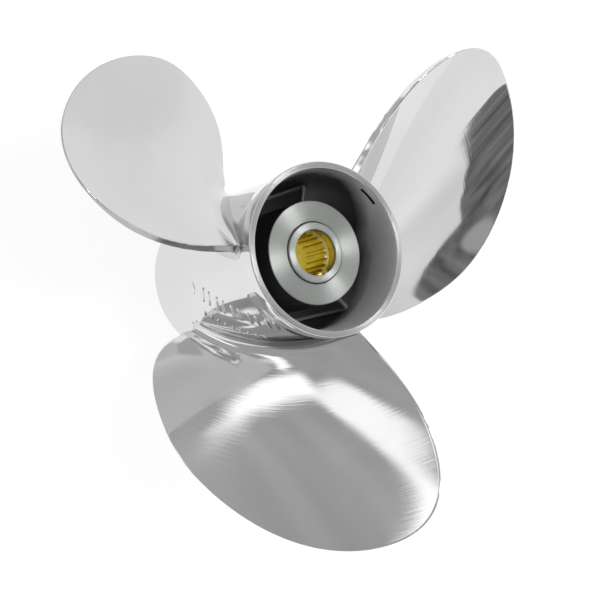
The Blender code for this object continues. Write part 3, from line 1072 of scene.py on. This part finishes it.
def room_walls(tree, x, y):
    """White to the left and greyer to the right, with a pale foot and skirting and a dim far end."""
    left_wall = ranged(tree, x, -58.0, -44.0, 1.08, 0.92)
    right_wall = ranged(tree, x, -28.0, 14.0, 0.0, 0.45)
    clouding = arith(tree, "MULTIPLY", sky_noise(tree, 3.0, 2.0), 0.35)
    walls = arith(tree, "ADD", arith(tree, "SUBTRACT", left_wall, right_wall), clouding)
    foot = ranged(tree, y, -56.0, -66.0, 0.0, 0.62)
    walls = arith(tree, "MAXIMUM", walls, foot)
    dim_end = ranged(tree, y, 38.0, 52.0, 0.0, 1.0)
    dim_end = arith(tree, "MULTIPLY", dim_end, ranged(tree, x, -22.0, -10.0, 0.0, 1.0))
    dim_end = arith(tree, "MULTIPLY", dim_end, ranged(tree, x, 24.0, 42.0, 1.0, 0.0))
    walls = mixed(tree, dim_end, walls, DIM_END_LEVEL)
    outwards = distance_to(tree, x, y, (0.0, 0.0), (90.0, 90.0))
    near_floor = ranged(tree, outwards, 0.62, 0.92, 0.0, 1.0)
    on_left = ranged(tree, x, -5.0, -25.0, 0.0, 1.0)
    return mixed(tree, arith(tree, "MULTIPLY", near_floor, on_left), walls, 1.0)


def strip_light(tree, x, y):
    """1 on the curved strip light, an arc that narrows towards its near end."""
    ring = distance_to(tree, x, y, STRIP_CENTRE, (1.0, 1.0))
    off_ring = arith(tree, "ABSOLUTE", arith(tree, "SUBTRACT", ring, STRIP_RADIUS))
    half_width = ranged(tree, y, -48.0, -18.0, 0.3, 4.2)
    strip = ranged(tree, arith(tree, "SUBTRACT", half_width, off_ring), -1.2, 1.2, 0.0, 1.0)
    right_side = ranged(tree, x, 20.0, 34.0, 0.0, 1.0)
    below_top = ranged(tree, y, 12.0, 18.0, 1.0, 0.0)
    return arith(tree, "MULTIPLY", strip, arith(tree, "MULTIPLY", right_side, below_top))


def ragged_card(tree, x, y):
    """1 on the ragged dark card: below a sloping edge, and on a taller part at its right."""
    slope = arith(tree, "MULTIPLY", arith(tree, "ADD", x, 30.0), 0.345)
    below_slope = arith(tree, "SUBTRACT", arith(tree, "ADD", slope, 26.8), y)
    lean = arith(tree, "MULTIPLY", y, 0.25)
    right_part = arith(tree, "SUBTRACT", arith(tree, "ADD", x, 35.3), lean)
    tall_part = arith(tree, "MINIMUM", right_part, arith(tree, "SUBTRACT", 42.0, y))
    inside = arith(tree, "MAXIMUM", below_slope, tall_part)
    right_edge = arith(tree, "MULTIPLY", arith(tree, "SUBTRACT", -9.0, x), 0.6)
    left_edge = arith(tree, "ADD", x, 58.0)
    near_edge = arith(tree, "ADD", y, 4.0)
    for edge in (right_edge, left_edge, near_edge):
        inside = arith(tree, "MINIMUM", inside, edge)
    tears = arith(tree, "MULTIPLY", sky_noise(tree, 6.5, 2.0), 1.6)
    return ranged(tree, arith(tree, "ADD", inside, tears), -0.12, 0.12, 0.0, 1.0)


def make_world():
    """The studio that the steel mirrors. Rays straight from the camera see plain white.

    It is a white room with a grey side, a curved strip light, a window and two small bright gaps,
    a ragged dark card with a paler hole, and two small lamps.
    """
    world = bpy.data.worlds.new("studio")
    world.use_nodes = True
    bpy.context.scene.world = world
    tree = world.node_tree
    x, y = sky_plane(tree)
    light = mixed(tree, strip_light(tree, x, y), room_walls(tree, x, y), STRIP_LEVEL)
    for patch in BRIGHT_PATCHES:
        light = patched(tree, x, y, light, patch)
    clouding = arith(tree, "MULTIPLY", sky_noise(tree, 26.0, 3.0), CARD_CLOUDING)
    gloom = arith(tree, "ADD", CARD_LEVEL, clouding, True)
    gloom = patched(tree, x, y, gloom, CARD_HOLE)
    light = mixed(tree, ragged_card(tree, x, y), light, gloom)
    for lamp in LAMPS:
        light = patched(tree, x, y, light, lamp)
    seen = tree.nodes.new("ShaderNodeLightPath")
    light = mixed(tree, seen.outputs["Is Camera Ray"], light, 1.0)
    background = tree.nodes["Background"]
    tree.links.new(light, background.inputs["Color"])
    background.inputs["Strength"].default_value = 1.0


def add_light(name, size, power, azimuth, elevation, distance):
    """A round lamp aimed at the wheel. It casts light and shadow, but the steel doesn't mirror it."""
    light = bpy.data.lights.new(name, "AREA")
    light.shape = "DISK"
    light.size = size
    light.energy = power
    obj = bpy.data.objects.new(name, light)
    level = cos(radians(elevation))
    direction = Vector((level * cos(radians(azimuth)), level * sin(radians(azimuth)),
                        sin(radians(elevation))))
    obj.location = direction * distance + Vector((0.0, 0.0, 0.1))
    obj.rotation_euler = direction.to_track_quat("Z", "Y").to_euler()
    obj.visible_glossy = False
    bpy.context.scene.collection.objects.link(obj)


def make_camera():
    """A long lens from above and beside the shaft axis, rolled as the object lies in the view."""
    azimuth, elevation, roll = radians(CAMERA_AZIMUTH), radians(CAMERA_ELEVATION), radians(CAMERA_ROLL)
    back = Vector((cos(elevation) * cos(azimuth), cos(elevation) * sin(azimuth), sin(elevation)))
    level = Vector((0.0, 0.0, 1.0)).cross(back).normalized()
    upright = back.cross(level)
    right = level * cos(roll) + upright * sin(roll)
    up = back.cross(right)
    data = bpy.data.cameras.new("camera")
    data.lens = CAMERA_LENS
    data.sensor_width = SENSOR_WIDTH
    camera = bpy.data.objects.new("camera", data)
    turn = Matrix((right, up, back)).transposed()
    camera.matrix_world = Matrix.Translation(CAMERA_PLACE) @ turn.to_4x4()
    bpy.context.scene.collection.objects.link(camera)
    bpy.context.scene.camera = camera


make_floor()
make_world()
add_light("key_softbox", 2.2, 8.0, 200.0, 75.0, 2.2)
make_camera()
bpy.context.scene.view_settings.view_transform = "Standard"
